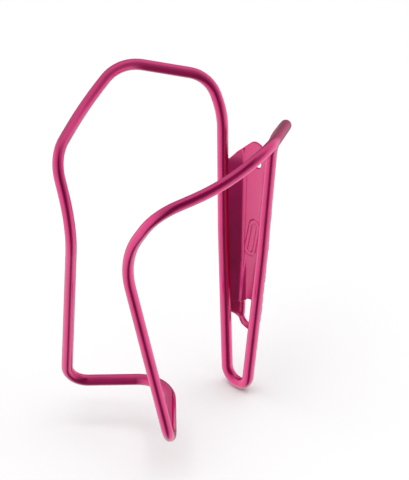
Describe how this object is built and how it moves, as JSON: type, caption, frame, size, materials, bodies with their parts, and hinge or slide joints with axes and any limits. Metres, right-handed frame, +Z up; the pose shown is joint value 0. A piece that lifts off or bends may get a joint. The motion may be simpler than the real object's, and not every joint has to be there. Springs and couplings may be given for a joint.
{
  "type": "water bottle cage",
  "caption": "Bent-rod bicycle bottle cage: two spread arms, a V-shaped foot rest and a pressed rear plate with a bolt hole and a bolt slot.",
  "frame": {"origin": "midway between the two bolt centres, on the plate's rear face, which bears on the bicycle's tube", "axes": "+Z up along the bottle's axis, +Y out of the rear face towards the bicycle's tube, so the open front is at -Y, and +X completes a right-handed frame; the YZ plane is the mirror plane"},
  "size_m": [0.0778, 0.0792, 0.1313],
  "materials": {
    "rod_finish": "glossy magenta-pink anodised coating on drawn rod",
    "plate_finish": "satin magenta-pink anodised coating on pressed sheet",
    "weld_finish": "magenta-pink anodised coating over a rippled weld bead"
  },
  "bodies": {
    "root": {"wire_loop": "rod_finish", "loop_closure_weld": "rod_finish", "back_plate": "plate_finish", "weld_right": "weld_finish", "weld_left": "weld_finish"}
  },
  "joints": []
}
